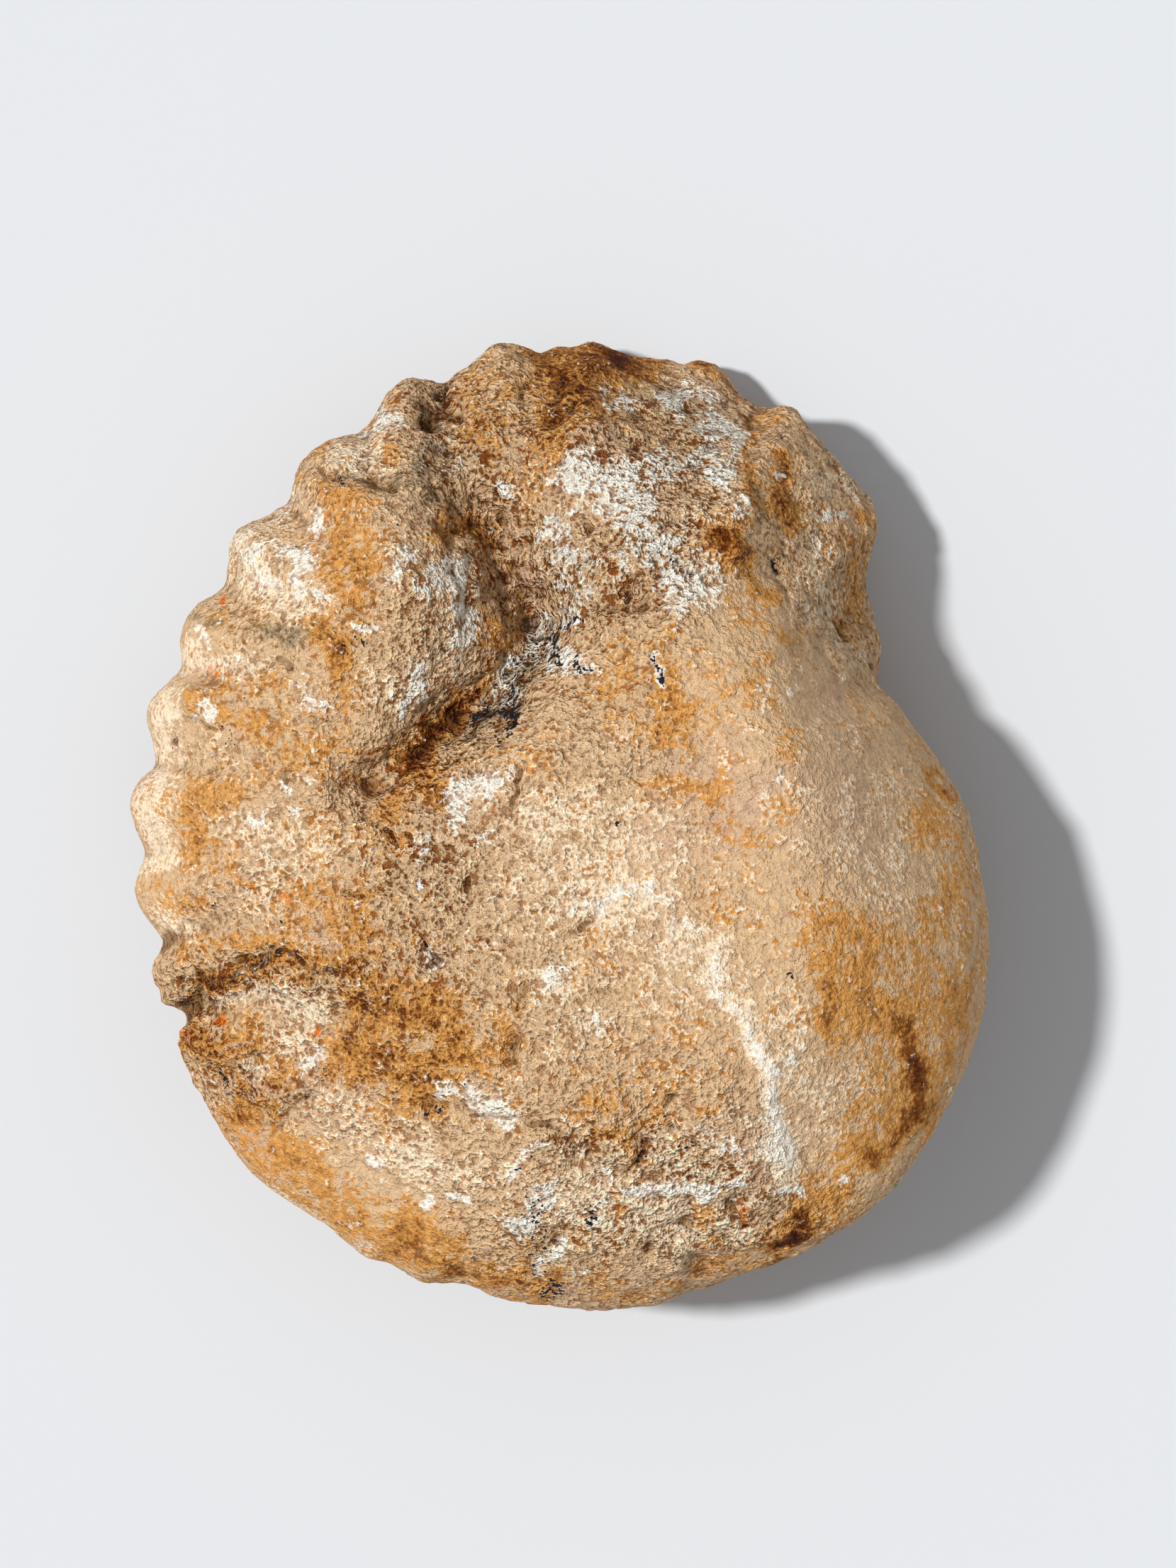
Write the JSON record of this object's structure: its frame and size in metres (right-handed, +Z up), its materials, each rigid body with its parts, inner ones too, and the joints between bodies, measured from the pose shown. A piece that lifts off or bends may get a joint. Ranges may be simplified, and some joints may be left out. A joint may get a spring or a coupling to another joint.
{
  "type": "fossil ammonite",
  "caption": "Weathered limestone mould of a coiled, ribbed ammonite shell, lying on its flank, with a swollen last whorl.",
  "frame": {"origin": "centre of the stone's bounding box in plan, at the level of the surface it rests on", "axes": "+Z up from the resting flank to the better flank, +Y along the longest size towards the small ribbed whorl, +X towards the swollen last whorl's right edge"},
  "size_m": [0.0792, 0.0899, 0.0384],
  "materials": {
    "limestone": "matt weathered limestone, sandy tan with ochre and rust stains and chalky white patches"
  },
  "bodies": {
    "root": {"ammonite": "limestone"}
  },
  "joints": []
}
